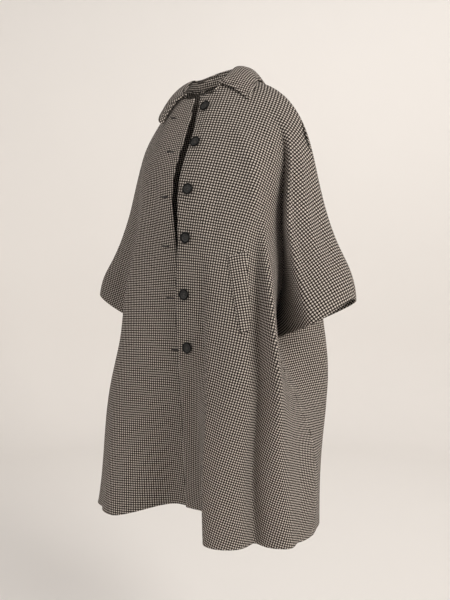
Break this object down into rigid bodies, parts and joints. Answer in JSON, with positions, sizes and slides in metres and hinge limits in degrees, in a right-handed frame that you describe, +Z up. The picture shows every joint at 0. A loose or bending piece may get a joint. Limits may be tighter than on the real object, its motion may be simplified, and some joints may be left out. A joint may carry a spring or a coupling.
{
  "type": "cape coat",
  "caption": "Knee-length cape coat in checked wool cloth, worn open, with wide elbow-length sleeves cut in one with the body, a turned-down collar, a slanted pocket welt and a button front.",
  "frame": {"origin": "middle of the neck opening, level with the top of the shoulder seams, where the coat is carried on the shoulders", "axes": "+Z up towards the neck, -Y out of the front of the coat, +X towards the wearer's left"},
  "size_m": [0.7144, 0.4271, 1.0893],
  "materials": {
    "wool": "heavy wool cloth in a small black-brown and off-white houndstooth, matt with a soft nap",
    "horn": "dark mottled horn-look button with a soft polish"
  },
  "bodies": {
    "root": {"left_front": "wool", "right_front": "wool", "back": "wool", "left_pocket_welt": "wool", "collar_stand": "wool", "collar_fall": "wool", "button_1": "horn", "button_2": "horn", "button_3": "horn", "button_4": "horn", "button_5": "horn", "button_6": "horn"}
  },
  "joints": []
}
